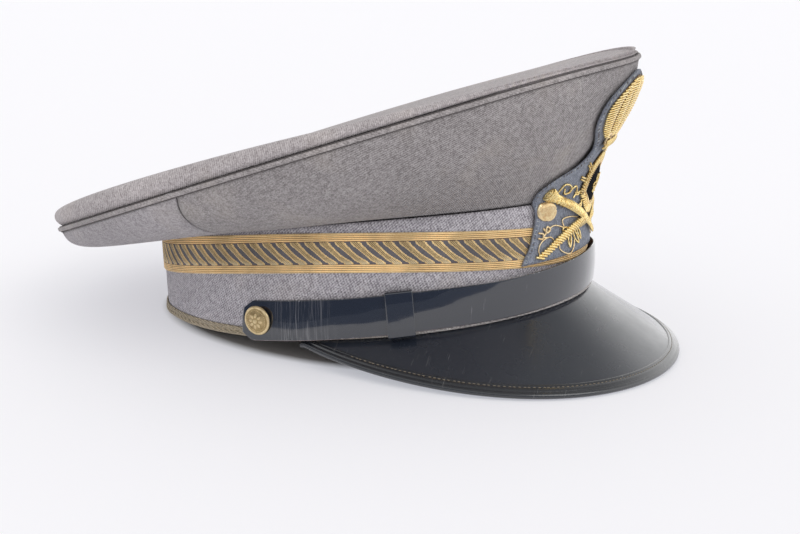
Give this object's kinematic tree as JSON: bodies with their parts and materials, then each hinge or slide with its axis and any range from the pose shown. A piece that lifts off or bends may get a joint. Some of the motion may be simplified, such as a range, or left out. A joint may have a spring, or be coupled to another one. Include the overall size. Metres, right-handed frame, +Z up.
{
  "type": "peaked military cap",
  "caption": "Peaked military cap with a wide sloping cloth crown, woven braid on the band, patent peak and chin strap, and a wire-embroidered front badge.",
  "frame": {"origin": "bottom centre of the box of the cap as it lies on a surface, on the rear of its band and the rim of its peak", "axes": "+X to the wearer's left, +Y to the rear, +Z up; the peak points along -Y"},
  "size_m": [0.2596, 0.305, 0.1387],
  "materials": {
    "crown_cloth": "matte wool cloth",
    "rear_cloth": "matte wool cloth, paler",
    "band_cloth": "matte twill",
    "braid": "ribbed metallic braid",
    "edge_binding": "worn cloth binding",
    "peak_leather": "glossy patent",
    "rim_leather": "satin",
    "strap_leather": "high gloss patent",
    "button_metal": "dull gilt",
    "badge_cloth": "felt",
    "badge_wire": "gilt wire",
    "badge_black": "black velvet"
  },
  "bodies": {
    "root": {"crown_top": "crown_cloth", "crown_front_panel": "crown_cloth", "crown_rear_panel": "rear_cloth", "crown_welt": "crown_cloth", "band": "band_cloth", "galloon": "braid", "band_binding": "edge_binding", "peak": "peak_leather", "peak_binding": "rim_leather", "chin_strap": "strap_leather", "keeper_right": "strap_leather", "keeper_left": "strap_leather", "button_right": "button_metal", "button_left": "button_metal", "badge_backing": "badge_cloth", "badge_flame": "badge_wire", "badge_collar": "badge_wire", "badge_ring": "badge_wire", "badge_barrels": "badge_wire", "badge_disc": "badge_black", "badge_branch_right": "badge_wire", "badge_branch_left": "badge_wire", "badge_pad_right": "badge_wire", "badge_pad_left": "badge_wire"}
  },
  "joints": []
}
